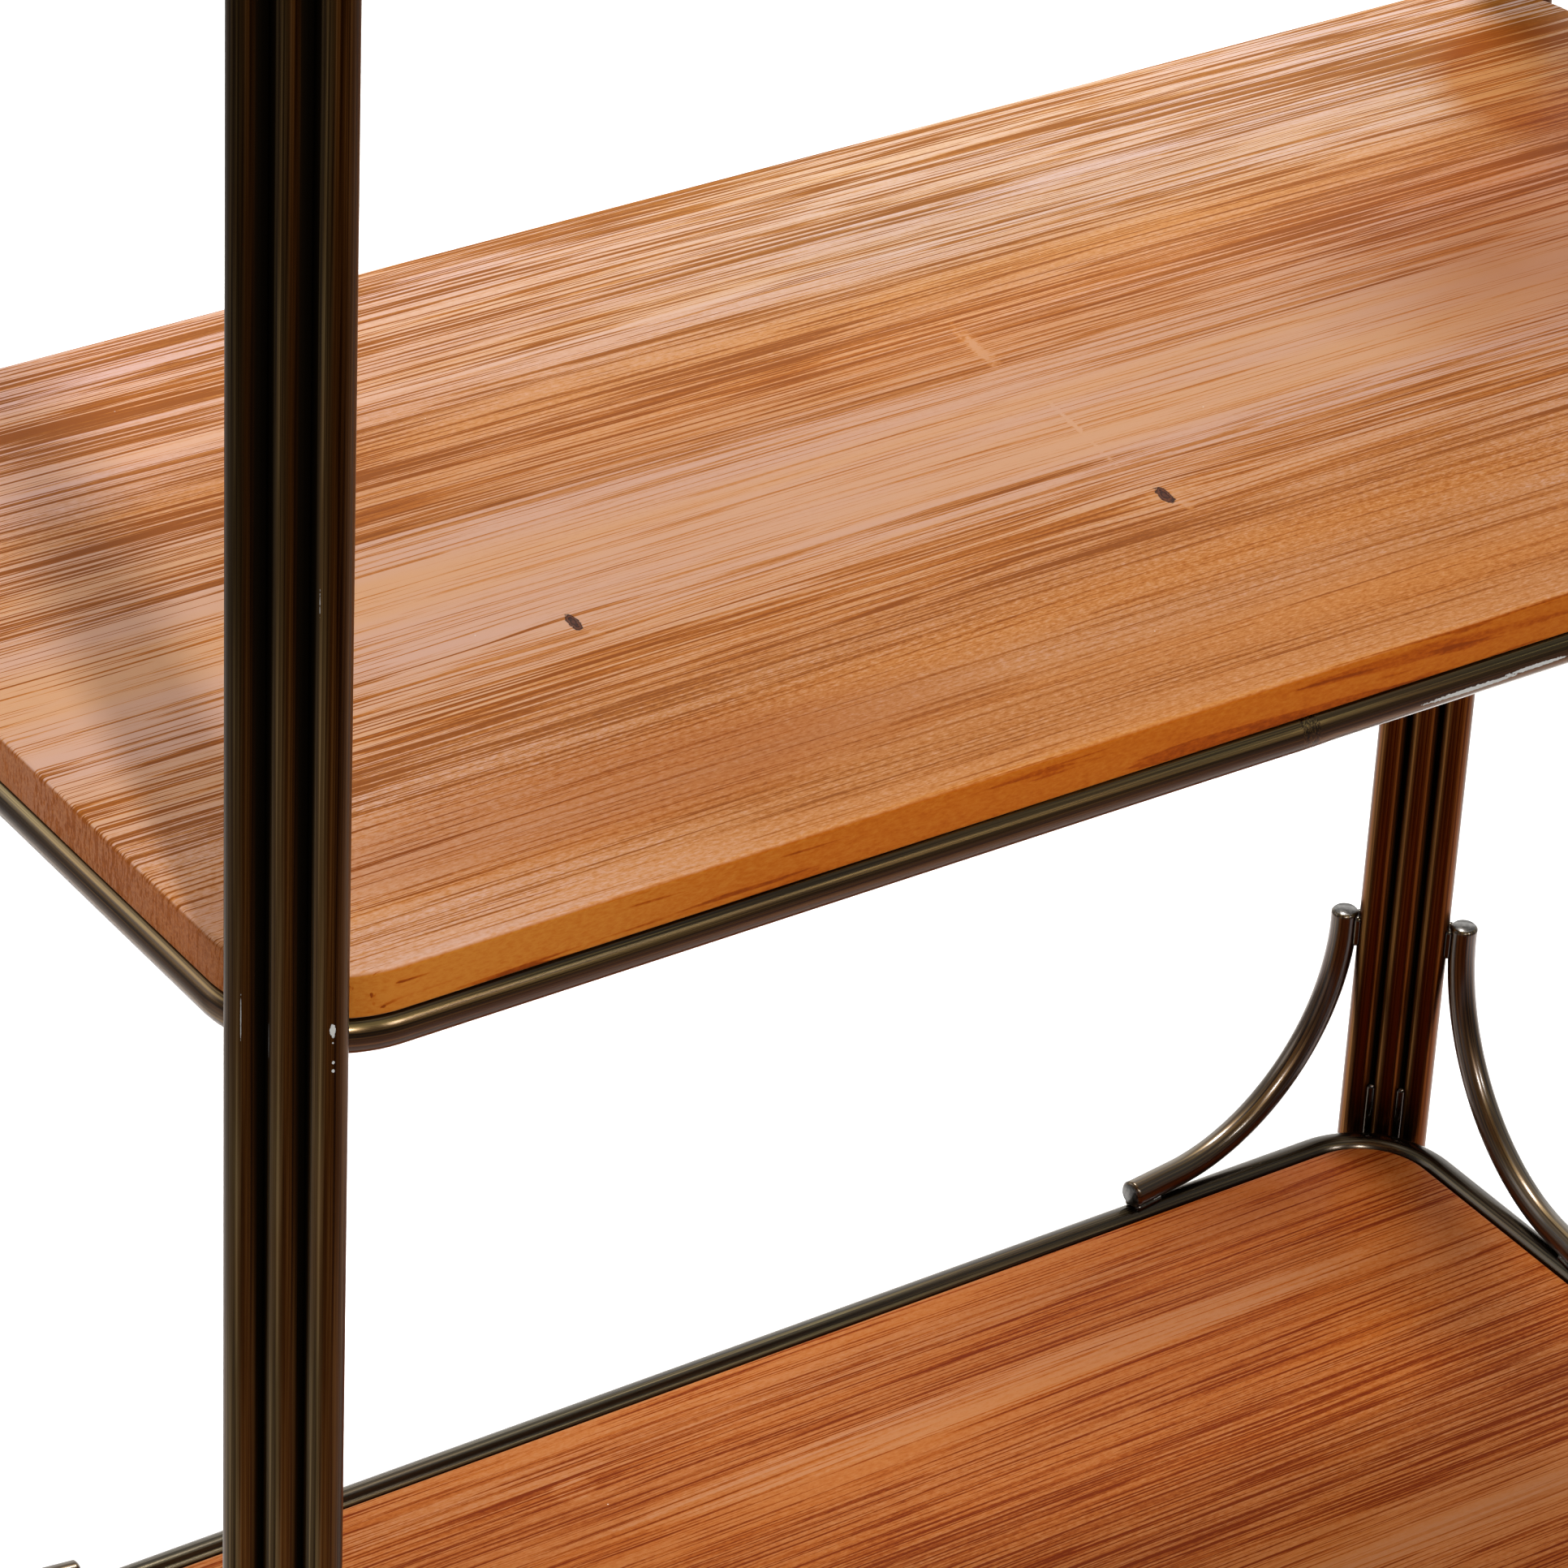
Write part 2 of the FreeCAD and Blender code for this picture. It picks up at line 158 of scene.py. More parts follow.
# %% Nodes and wires
class Wire:
    """One output of a node; sums, differences and products of wires add a node each."""
    def __init__(self, tree, socket):
        self.tree, self.socket = tree, socket

    def node(self, kind, sockets, output=0, **settings):
        """One output of a new node in the same tree."""
        return Wire(self.tree, add(self.tree, kind, sockets, **settings).outputs[output])

    def maths(self, operation, other=0.0):
        """One arithmetic step, with this wire as the first of two numbers."""
        return self.node("Math", {0: self, 1: other}, operation=operation)

    def __add__(self, other):
        return self.maths("ADD", other)

    def __sub__(self, other):
        return self.maths("SUBTRACT", other)

    def __rsub__(self, other):
        return self.node("Math", {0: other, 1: self}, operation="SUBTRACT")

    def __mul__(self, other):
        return self.maths("MULTIPLY", other)


def fill(tree, node, sockets):
    """Each socket gets a link where the value is a wire, else the value itself."""
    for key, value in sockets.items():
        if isinstance(value, Wire):
            tree.links.new(value.socket, node.inputs[key])
        else:
            node.inputs[key].default_value = value


def add(tree, kind, sockets=None, **settings):
    """New node with its settings made and its sockets filled."""
    made = tree.nodes.new("ShaderNode" + kind)
    for key, value in settings.items():
        setattr(made, key, value)
    fill(tree, made, sockets or {})
    return made


print("wires add, subtract and multiply")

# %% [markdown]
# Every tree ends in a shader and starts from what is known at a point: its place, the way it
# faces, and the marks kept at the mesh's points.

# %% Starts and ends of a tree
def new_material(name):
    """Empty material, its tree, and a shader joined to the output."""
    material = bpy.data.materials.new(name)
    material.use_nodes = True
    tree = material.node_tree
    tree.nodes.clear()
    shader = add(tree, "BsdfPrincipled")
    add(tree, "OutputMaterial", {0: Wire(tree, shader.outputs[0])})
    return material, tree, shader


def source(tree, kind, output, **settings):
    """Wire from a node that needs no input."""
    return Wire(tree, add(tree, kind, **settings).outputs[output])


def rack_place(tree):
    """Place on the rack in metres, the same for every piece because all sit at the origin."""
    return source(tree, "TexCoord", "Object")


def parts_of(vector, kind="SeparateXYZ"):
    """The three numbers in a vector, or in a colour."""
    split = add(vector.tree, kind, {0: vector})
    return [Wire(vector.tree, split.outputs[part]) for part in range(3)]


def larger(first, second):
    """The larger of two numbers."""
    return first.maths("MAXIMUM", second)


def reach_from(place, centre, half_sizes, turn=0.0):
    """Distance from a centre in units of half sizes, turned about z: one on the rim."""
    away = place.node("VectorMath", {0: place, 1: centre}, operation="SUBTRACT")
    turned = away.node("VectorRotate", {"Vector": away, "Angle": turn}, rotation_type="Z_AXIS")
    scaled = turned.node("VectorMath", {0: turned, 1: half_sizes}, operation="DIVIDE")
    return scaled.node("VectorMath", {0: scaled}, "Value", operation="LENGTH")


print("trees start from place, facing and marks")

# %% [markdown]
# Colours come from ramps, which turn a number into a colour between several stops, and from
# noise. Noise on coordinates that are squeezed along one axis turns into streaks, which is how
# brushed lines and wood grain are made here.

# %% Ramps, noise and mixing
def ramp(value, stops):
    """Colour ramp through (position, colour) stops; a plain number gives a grey."""
    made = add(value.tree, "ValToRGB", {"Fac": value})
    scale = made.color_ramp
    while len(scale.elements) < len(stops):
        scale.elements.new(0.5)
    for element, (position, colour) in zip(scale.elements, stops):
        element.position = position
        grey = not hasattr(colour, "__len__")
        element.color = (colour, colour, colour, 1) if grey else (*colour, 1)
    return Wire(value.tree, made.outputs["Color"])


def stretched(vector, scale, shift=(0, 0, 0)):
    """Coordinates multiplied axis by axis and moved, so that noise becomes streaks."""
    return vector.node("Mapping", {"Vector": vector, "Scale": scale, "Location": shift})


def noise(vector, scale, detail, rough=0.55):
    """Soft noise from zero to one."""
    sockets = {"Vector": vector, "Scale": scale, "Detail": detail, "Roughness": rough}
    return vector.node("TexNoise", sockets, "Fac")


def blend(share, first, second, mode="MIX"):
    """Colour mixed from first to second by share; a colour is a wire or three numbers."""
    wire = next(value for value in (first, second) if isinstance(value, Wire))
    first, second = [colour if isinstance(colour, Wire) else (*colour, 1)
                     for colour in (first, second)]
    sockets = {0: share, 6: first, 7: second}
    return wire.node("Mix", sockets, 2, data_type="RGBA", blend_type=mode)


def tinted(share, colour, tint):
    """Colour multiplied by a tint, where share says so."""
    return blend(share, colour, blend(1.0, colour, tint, "MULTIPLY"))


def relief(height, strength, distance):
    """Normal tilted by the slope of a height."""
    return height.node("Bump", {"Height": height, "Strength": strength, "Distance": distance})


print("colours come from ramps, noise and mixing")

# %% [markdown]
# ## Dark bronze lacquer
# The bars were brushed, then coated with a thin brown-black lacquer. A metal with a dark base
# colour does this by itself: its face is dark and its edges mirror the surroundings. Fine and
# broad noise, drawn out along the bar, makes the brushed lines. Where the bar faces up or to the
# left it is painted olive, a painted reflection of the lit surroundings; elsewhere it is red-brown.

# %% Brushed tone and painted olive reflection
fine_lines = (1300, 1300, 6)
broad_lines = (380, 380, 2.5)
brown_stops = [(0.38, (0.013, 0.0034, 0.0005)), (0.50, (0.043, 0.0130, 0.0020)),
               (0.62, (0.095, 0.036, 0.0080))]
olive_reflection_stops = [(0.38, (0.012, 0.008, 0.003)), (0.50, (0.044, 0.033, 0.013)),
               (0.62, (0.120, 0.098, 0.048))]
reflection_side = (-0.92, -0.40, 0.0)


def brushed_tone(run):
    """Even mix of fine and broad streaks; their scales are repeats a metre across and along."""
    fine = noise(stretched(run, fine_lines), 1.0, 2.0)
    broad = noise(stretched(run, broad_lines), 1.0, 3.0)
    return fine * 0.50 + broad * 0.50


def painted_reflection_share(place):
    """Share of painted olive reflection by the way the surface faces, broken up by clouds."""
    normal = source(place.tree, "NewGeometry", "Normal")
    leftward = normal.node("VectorMath", {0: normal, 1: reflection_side}, "Value",
                           operation="DOT_PRODUCT")
    upward = parts_of(normal)[2]
    lit_facing = larger(ramp(leftward, [(0.84, 0.0), (0.97, 0.65)]),
                   ramp(upward, [(0.15, 0.0), (0.70, 1.0)]))
    return lit_facing * ramp(noise(place, 7.0, 4.0), [(0.35, 0.6), (0.60, 1.0)])


def deepened(stops, deep):
    """Ramp stops with each colour multiplied by a tint."""
    return [(position, tuple(np.multiply(colour, deep))) for position, colour in stops]


print("lacquer runs from", brown_stops[0][1], "to", olive_reflection_stops[-1][1])

# %% [markdown]
# A used bar is not the same all over. Chips are small bare spots at given places, with a ragged
# rim because noise is added to the distance from the middle. Sawn ends are grey. In the grooves
# between the tubes painted shade hides the metal. The surfaces carry the marks "tip" and "shade"
# at their points for the last two, because only the code that makes a bar knows where its ends are.

# %% Chips, sawn ends and painted groove shade
bare_steel = (0.40, 0.39, 0.37)
painted_groove_shade_colour = (0.003, 0.0018, 0.0008)
sawn_stops = [(0.42, (0.015, 0.012, 0.009)), (0.60, (0.055, 0.050, 0.044))]
chip_rim = 1.35


def chip_mask(place, chips):
    """One on a chip and zero elsewhere: distance plus noise is under the rim."""
    bare = 0.0
    for centre, half_sizes in chips:
        ragged = reach_from(place, centre, half_sizes) + noise(place, 900.0, 3.0) * 1.1
        bare = larger(ragged.maths("LESS_THAN", chip_rim), bare)
    return bare


def used_bar(place, colour, chips, coat):
    """Shader sockets of a bar with chips, sawn ends and painted shade in its grooves."""
    bare = chip_mask(place, chips)
    colour = blend(bare, colour, bare_steel)
    tip = source(place.tree, "Attribute", "Fac", attribute_name="tip")
    sawn = ramp(noise(place, 520.0, 4.0), sawn_stops)
    colour = blend(ramp(tip, [(0.90, 0.0), (0.98, 1.0)]), colour, sawn)
    # Painted shade: where the shade mark is one, the bar turns near black with no metal and no
    # coat.
    open_side = 1.0 - source(place.tree, "Attribute", "Fac", attribute_name="shade")
    return {"Base Color": blend(open_side, painted_groove_shade_colour, colour),
            "Metallic": open_side * (1.0 - bare),
            "Specular IOR Level": 0.0, "Coat Weight": open_side * coat}


print("bars can carry chips, sawn ends and painted groove shade")

# %% [markdown]
# The pieces were lacquered by hand and have aged apart, so each group gets its own lacquer: the
# frames are shinier and the braces are paler under a thicker coat. The rear posts' lacquer is
# redder and brighter, which paints in the light on those posts. One function makes them all.
# Plates and welds have no straight coordinates, so their lines run up.

# %% Lacquers
specular_tint = (1.0, 0.97, 0.92, 1)


def lacquer(name, follow_bar=True, chips=(), gloss=0.30, deep=(1.0, 1.0, 1.0), coat=0.0,
            coat_gloss=0.12):
    """Brushed dark lacquer; chips are (place, half sizes) in metres on the rack."""
    material, tree, shader = new_material(name)
    place = run = rack_place(tree)
    if follow_bar:
        run = source(tree, "Attribute", "Vector", attribute_name="straight")
    tone = brushed_tone(run)
    brown = ramp(tone, deepened(brown_stops, deep))
    olive = ramp(tone, deepened(olive_reflection_stops, deep))
    # Painted reflection: olive where the bar faces up or to the left, red-brown elsewhere.
    colour = blend(painted_reflection_share(place), brown, olive)
    if follow_bar:
        fill(tree, shader, used_bar(place, colour, chips, coat))
    else:
        fill(tree, shader, {"Base Color": colour, "Metallic": 1.0, "Coat Weight": coat})
    fill(tree, shader, {
        "Roughness": ramp(tone, [(0.3, gloss - 0.06), (0.7, gloss + 0.10)]),
        "Normal": relief(tone, 0.08, 0.0004),
        "Coat Roughness": coat_gloss, "Specular Tint": specular_tint})
    return material


near_post_chips = [
    ((-0.41953, -0.22723, 0.7815), (0.0011, 0.0011, 0.0034)),
    ((-0.41948, -0.22724, 0.7763), (0.0004, 0.0004, 0.0005)),
    ((-0.41927, -0.22729, 0.7685), (0.0006, 0.0006, 0.0007)),
    ((-0.41924, -0.22730, 0.7651), (0.0007, 0.0007, 0.0008)),
    ((-0.42394, -0.22361, 0.9443), (0.0002, 0.0002, 0.0080)),
    ((-0.43457, -0.21106, 0.7727), (0.0002, 0.0002, 0.0090)),
    ((-0.44223, -0.20581, 0.7812), (0.0002, 0.0002, 0.0110))]
front_scratches = [((0.0700, -0.2205, 0.7640), (0.0260, 0.0030, 0.0012)),
                   ((0.1000, -0.2205, 0.7650), (0.0180, 0.0030, 0.0010))]
bar_lacquer = lacquer("bar_lacquer")
# Rear posts: a brighter, redder copy of the bar lacquer, painting in the light on them.
rear_lit_lacquer = lacquer("rear_lit_lacquer", deep=(1.5, 1.05, 0.6))
frame_lacquer = lacquer("frame_lacquer", gloss=0.24, deep=(0.65, 0.62, 0.55),
                        coat=0.45, coat_gloss=0.20)
brace_lacquer = lacquer("brace_lacquer", gloss=0.34, deep=(0.90, 0.78, 0.60),
                        coat=0.75, coat_gloss=0.20)
plate_lacquer = lacquer("plate_lacquer", False)
chipped_lacquer = lacquer("chipped_lacquer", chips=near_post_chips)
scratched_lacquer = lacquer("scratched_lacquer", chips=front_scratches, gloss=0.24,
                            deep=(1.25, 1.15, 0.85), coat=0.35, coat_gloss=0.20)
weld_lacquer = lacquer("weld_lacquer", False, gloss=0.22, deep=(0.5, 0.5, 0.5),
                       coat=0.80, coat_gloss=0.10)
print("lacquers made, chips on the near post:", len(near_post_chips))

# %% [markdown]
# ## Stained wood
# The boards are open-grained wood, stained and varnished. The grain runs along the shelf, so
# every pattern is noise that is long in x and short in y. The place across the board is bent a
# little by slow noise, and pushed aside by each knot. A zone ramp across the board says in its
# three channels how dark, how lined and how porous each strip is.

# %% Where the grain lies
knot_push = (0.045, 0.012)
board_span = (-0.209, 0.225)


def rough_reach(place, centre, half_sizes, turn, ragged):
    """Distance from a mark's centre in units of its half sizes, with a ragged rim."""
    rim = noise(place, 420.0, 3.0) - 0.5
    return reach_from(place, centre, (*half_sizes, 1.0), turn) + rim * ragged


def grain_place(place, seed, knots):
    """Place across the grain, y plus a slow wobble less a push round each knot, and in full."""
    x, y, z = parts_of(place)
    across = y + noise(stretched(place, (1.3, 6, 6), (seed, seed, 0)), 1.0, 2.0) * 0.016
    for centre, _ in knots:
        near = rough_reach(place, centre, knot_push, 0.0, 0.0)
        fall = near.node("Math", {0: 2.718, 1: near * near * -1.0}, operation="POWER")
        across = across + fall * ((y - centre[1]) * -0.4)
    return across, place.node("CombineXYZ", {0: x, 1: across, 2: z})


def zone_parts(across, zones):
    """How dark, lined and porous the strip is at a place across the board."""
    sockets = {"Value": across, "From Min": board_span[0], "From Max": board_span[1]}
    return parts_of(ramp(across.node("MapRange", sockets), zones), "SeparateColor")


def streaks(grain, scale, seed, shift, detail=2.0, rough=0.55):
    """Noise drawn out along the grain; scale is repeats a metre, shift picks another pattern."""
    return noise(stretched(grain, scale, (seed, shift, 0)), 1.0, detail, rough)


print("grain is bent round each knot over", knot_push, "metres")

# %% [markdown]
# Every growth ring starts pale and ends in a thin dark line, so the ring number is a sawtooth
# over the place across the board. A picture of wood would give this too, but it would repeat and
# could not follow the knots. Each ring gets its own strength by chance. Strands are fine dark
# lines between the rings, thin and thick, which crowd together in clumps.

# %% Rings and strands
rings_per_metre = 400.0
rings_upward = 40.0
late_wood = [(0.55, 0.0), (0.78, 0.30), (0.88, 1.0), (0.96, 1.0), (1.0, 0.0)]


def ring_lines(grain, across, z, seed, lined):
    """Dark line late in each ring: ring number = across and z by rings a metre, plus noise."""
    spread = streaks(grain, (0.4, 16, 4), seed, 2)
    bend = streaks(grain, (1.1, 60, 12), seed, 5, detail=3.0)
    number = across * rings_per_metre + spread * 24.0 + bend * 5.0 + z * rings_upward
    late = ramp(number.maths("FRACT"), late_wood)
    ring = number.maths("FLOOR")
    chance = ring.node("TexWhiteNoise", {"W": ring}, "Value", noise_dimensions="1D")
    fade = ramp(streaks(grain, (5.0, 170, 30), seed, 9), [(0.40, 0.05), (0.56, 1.0)])
    return late * chance.maths("POWER", 1.6) * fade * (lined + 0.12)


def strand_lines(grain, seed, lined, clump, thin_share, thick_share):
    """Thin and thick strands: streaks over a limit that drops where they crowd together."""
    group = streaks(grain, (1.6, 55, 14), seed, 3)
    crowd = lined * 0.15 + group * clump - (0.125 + clump / 2)
    thin = streaks(grain, (9.0, 950, 220), seed, 11) + crowd
    thick = streaks(grain, (4.5, 420, 100), seed, 7) + crowd
    both = (ramp(thin, [(0.54, 0.0), (0.59, 1.0)]) * thin_share
            + ramp(thick, [(0.55, 0.0), (0.59, 1.0)]) * thick_share)
    return both * (lined * 0.65 + 0.35)


print("rings in a metre:", rings_per_metre)

# %% [markdown]
# Things that are slid on and off wear a shelf at its ends and its back, and there the lines stand
# out more. Pale patches and scars lift the tone of the wood at given places.

# %% Wear, pale patches and scars
def wear_parts(x, y, worn):
    """Wear at the left end, the right end and the back, as one number and the back alone."""
    left_end = ramp(x * -1.0, [(0.22, 0.0), (0.36, 1.2 * worn)])
    right_end = ramp(x, [(0.12, 0.0), (0.24, 0.4 * worn)])
    back_side = ramp(y, [(0.06, 0.0), (0.13, worn)])
    return larger(larger(left_end, right_end), back_side * 0.7), back_side


def lifted(place, tone, pales, scars):
    """Tone raised on pale patches, which keep their grain, and on scars, which lose it."""
    for centre, half_sizes, lift in pales:
        near = rough_reach(place, centre, half_sizes, 0.0, 0.25)
        tone = tone + ramp(near, [(0.75, lift), (1.0, 0.0)])
    for centre, half_sizes, lift in scars:
        near = rough_reach(place, centre, half_sizes, 0.12, 1.5)
        tone = larger(tone, ramp(near, [(0.3, lift), (1.0, 0.30)]))
    return tone


print("boards can carry wear, pale patches and scars")

# %% [markdown]
# A palette turns the tone into colours. Stain takes unevenly, so slow noise shifts the hue. The
# back is tinted greyer and bluer, a painted sheen, and a little darker at its right end, a painted
# shade. Patches darken some places: a real stain, painted shade and a painted reflection. Sawn
# long edges soak up more stain and end grain soaks up most, so both are picked out by the way
# they face. Knots and dust come last.

# %% Colour of the stain
tone_steps = (0.10, 0.28, 0.46, 0.60, 0.78)
hue_tints = [(0.36, (1.02, 0.97, 0.78)), (0.64, (0.98, 1.02, 1.15))]
back_sheen_tints = [(0.0, (1.14, 1.20, 1.45)), (0.35, (0.88, 1.08, 1.34))]
edge_tint = (0.66, 0.38, 0.06)
end_tints = [(0.40, (0.58, 0.44, 0.33)), (0.60, (0.74, 0.60, 0.48))]
knot_rings = [(0.15, (0.10, 0.030, 0.012)), (0.45, (0.030, 0.009, 0.005)),
              (0.62, (0.15, 0.045, 0.016)), (0.85, (0.022, 0.007, 0.005))]
dust_colour = (0.80, 0.74, 0.66)
# Colour that the painted shade at the right end darkens towards.
right_shade_colour = (0.10, 0.018, 0.002)


def stain_colour(place, tone, palette, hue, back_side, stains_and_painted_light):
    """Palette by tone, shifted in hue, with a painted sheen at the back, deeper on each stain,
    painted shade and painted reflection.
    """
    colour = ramp(tone, list(zip(tone_steps, palette)))
    colour = blend(1.0, colour, ramp(hue, hue_tints), "MULTIPLY")
    from_left = parts_of(place)[0] + 0.30
    # Painted sheen at the back: greyer and bluer, and a painted shade at its right end.
    colour = tinted(back_side, colour, ramp(from_left, back_sheen_tints))
    # Each patch deepens the colour, for a real stain and for painted shade and reflection alike.
    for centre, half_sizes, turn, core, shade in stains_and_painted_light:
        near = rough_reach(place, centre, half_sizes, turn, 0.0)
        colour = tinted(ramp(near, [(core, 1.0), (1.0, 0.0)]), colour, shade)
    return colour


def sawn_faces(place, colour, end_stain):
    """Darker long edges and speckled end grain; also how far each face is one or the other."""
    x, y, _ = parts_of(source(place.tree, "NewGeometry", "Normal"))
    long_edge = ramp(y.maths("ABSOLUTE"), [(0.50, 0.0), (0.90, 1.0)])
    end_grain = ramp(x.maths("ABSOLUTE"), [(0.55, 0.0), (0.85, 1.0)])
    colour = tinted(long_edge, colour, edge_tint)
    soaked = blend(0.6, colour, end_stain)
    speckle = ramp(noise(place, 900.0, 3.0), end_tints)
    colour = blend(end_grain, colour, blend(1.0, soaked, speckle, "MULTIPLY"))
    return colour, long_edge, end_grain


def knots_and_dust(place, colour, knots):
    """Ringed knots at given places, and pale specks in a fifth of the cells of a grid."""
    for centre, half_sizes in knots:
        reach = rough_reach(place, centre, half_sizes, 0.15, 0.9)
        inside = ramp(reach, [(0.85, 1.0), (1.0, 0.0)])
        colour = blend(inside, colour, ramp(reach, knot_rings))
    cell = add(place.tree, "TexVoronoi", {"Vector": place, "Scale": 60.0})
    chance = parts_of(Wire(place.tree, cell.outputs["Color"]), "SeparateColor")[0]
    near = Wire(place.tree, cell.outputs["Distance"])
    dust = chance.maths("GREATER_THAN", 0.80) * near.maths("LESS_THAN", 0.018)
    return blend(dust * 0.8, colour, dust_colour)


print("stain has", len(tone_steps), "tones")

# %% [markdown]
# Now the steps come together. The tone, from dark to pale, adds up the zone, the wear, the
# strands, the rings and the pores. The varnish is a clear coat, thinner over pores and lines and
# nearly gone on upright faces, so the light breaks up along the grain. The strands and pores also
# give a faint relief.

# %% Wood finish
def varnish_weight(sheen, porous, marks, long_edge, end_grain):
    """Coat = sheen, less over pores and dark marks, less again on upright faces."""
    closed = larger(1.0 - marks * 2.4, 0.0)
    upright = larger(end_grain, long_edge * 0.85)
    return (1.0 - porous * 0.75) * sheen * closed * (1.0 - upright)


def stained_wood(name, seed, zones, palette, knots=(), scars=(), stains_and_painted_light=(), pales=(), sheen=0.22,
                 right_end_shade=0.0, clump=0.26, thin_share=0.32, thick_share=0.24, worn=0.0):
    """Growth rings, strands, pores and marks under varnish; palette from dark to pale."""
    material, tree, shader = new_material(name)
    place = rack_place(tree)
    x, y, z = parts_of(place)
    across, grain = grain_place(place, seed, knots)
    dark, lined, porous = zone_parts(across, zones)
    wear, back_side = wear_parts(x, y, worn)
    hair = strand_lines(grain, seed, lined, clump, thin_share, thick_share) * (wear + 1.0)
    line = ring_lines(grain, across, z, seed, lined) * (wear + 1.0)
    pores = streaks(grain, (300, 850, 850), seed, 1, rough=0.7)
    soft = streaks(grain, (3.5, 220, 40), seed, 13, detail=3.0)
    tone = soft * 0.14 + 0.74 - dark * 0.62 + wear * 0.12 - hair - line * 0.55
    tone = tone + (porous + 0.16) * ((pores - 0.5) * 0.62)
    tone = lifted(place, tone, pales, scars)
    hue = streaks(grain, (2.0, 34, 8), seed, 17, detail=3.0)
    colour = stain_colour(place, tone, palette, hue, back_side, stains_and_painted_light)
    colour, long_edge, end_grain = sawn_faces(place, colour, palette[2])
    colour = knots_and_dust(place, colour, knots)
    # Painted shade: darker towards the right end, by the share given.
    right_shade_share = ramp(x, [(0.05, 0.0), (0.40, 1.0)]) * right_end_shade
    height = hair + pores * porous * 0.4
    fill(tree, shader, {
        "Base Color": blend(1.0 - right_shade_share, right_shade_colour, colour),
        "Roughness": 0.55, "Normal": relief(height, 0.10, 0.0005),
        "Specular IOR Level": 0.25 * sheen, "Coat Roughness": 0.19,
        "Coat Weight": varnish_weight(sheen, porous, hair + line, long_edge, end_grain)})
    return material


print("wood finish ready for", len(shelf_names), "boards")

# %% [markdown]
# The boards were cut from different planks. The counter and the upper boards are orange, and the
# bottom one is redder. Each list of zones goes from the front of a board to its back, with how
# dark, how lined and how porous the strip is.

# %% Palettes and zones
# The palest stop is partly the wood's own pale colour and partly a painted sheen of the varnish.
orange_palette = [(0.085, 0.021, 0.004), (0.26, 0.070, 0.009), (0.43, 0.140, 0.020),
                  (0.54, 0.230, 0.072), (0.62, 0.352, 0.220)]
red_palette = [(0.120, 0.016, 0.001), (0.19, 0.038, 0.004), (0.265, 0.072, 0.011),
               (0.305, 0.105, 0.027), (0.325, 0.135, 0.056)]
counter_zones = [
    (0.00, (0.34, 0.40, 0.55)), (0.06, (0.44, 0.45, 0.80)), (0.12, (0.36, 0.45, 0.55)),
    (0.20, (0.36, 0.50, 1.00)), (0.25, (0.35, 0.75, 0.70)), (0.31, (0.08, 1.00, 0.35)),
    (0.37, (0.04, 0.75, 0.14)), (0.46, (0.02, 0.45, 0.10)), (0.55, (0.05, 0.65, 0.12)),
    (0.60, (0.20, 1.00, 0.15)), (0.66, (0.22, 1.00, 0.30)), (0.72, (0.40, 0.80, 0.45)),
    (0.76, (0.31, 0.80, 0.30)), (0.80, (0.19, 0.75, 0.12)), (0.84, (0.29, 0.85, 0.15)),
    (0.88, (0.21, 1.00, 0.18)), (1.00, (0.20, 0.95, 0.22))]
plain_zones = [
    (0.00, (0.40, 0.60, 0.50)), (0.12, (0.40, 0.90, 0.30)), (0.22, (0.34, 0.50, 0.10)),
    (0.34, (0.42, 1.00, 0.60)), (0.45, (0.30, 0.60, 0.10)), (0.58, (0.44, 1.00, 0.40)),
    (0.68, (0.34, 0.65, 0.15)), (0.80, (0.44, 0.90, 0.70)), (0.90, (0.30, 0.50, 0.10)),
    (1.00, (0.42, 0.90, 0.40))]
low_zones = [
    (0.00, (0.42, 0.90, 0.50)), (0.10, (0.34, 0.70, 0.30)), (0.18, (0.46, 1.00, 0.60)),
    (0.30, (0.44, 0.90, 0.60)), (0.38, (0.24, 0.50, 0.10)), (0.46, (0.44, 1.00, 0.60)),
    (0.58, (0.46, 1.00, 0.80)), (0.70, (0.44, 0.90, 0.70)), (0.76, (0.40, 0.70, 0.50)),
    (0.82, (0.40, 0.70, 0.50)), (0.86, (0.44, 1.00, 0.60)), (0.90, (0.30, 0.80, 0.60)),
    (0.95, (0.34, 0.80, 0.60)), (1.00, (0.28, 0.40, 0.30))]
print("zones:", len(counter_zones), len(plain_zones), len(low_zones))

# %% [markdown]
# The counter has two pin knots, four pale scars, one stain near its front left, a painted
# reflection of the far post near its back right corner and a painted shade over its right half.
# The bottom board has two patches of painted shade towards its back right and two pale patches.
# Each is given by its middle and its half sizes in metres on the board's top, so it stays on the
# wood from any side.

# %% Marks and board finishes
counter_top, low_top = 0.7905, 0.1922
knots = [((-0.2165, -0.0545, counter_top), (0.0024, 0.0066)),
         ((0.0273, -0.0842, counter_top), (0.0028, 0.0070))]
scars = [((0.0325, 0.0455, counter_top), (0.0050, 0.0240), 0.70),
         ((-0.2138, -0.0644, counter_top), (0.0045, 0.0035), 0.70),
         ((0.0304, -0.0945, counter_top), (0.0050, 0.0040), 0.70),
         ((0.0290, -0.0240, counter_top), (0.0026, 0.0480), 0.78)]
# Counter: a painted reflection of the far post, a painted shade over the right half, a real stain.
counter_stain_and_painted_light = [((0.380, 0.127, counter_top), (0.054, 0.066), 0.574, 0.70, (0.84, 0.60, 0.30)),
                  ((0.340, 0.010, counter_top), (0.190, 0.120), 0.0, 0.45, (0.76, 0.62, 0.52)),
                  ((-0.280, -0.158, counter_top), (0.190, 0.036), 0.0, 0.50, (0.84, 0.70, 0.54))]
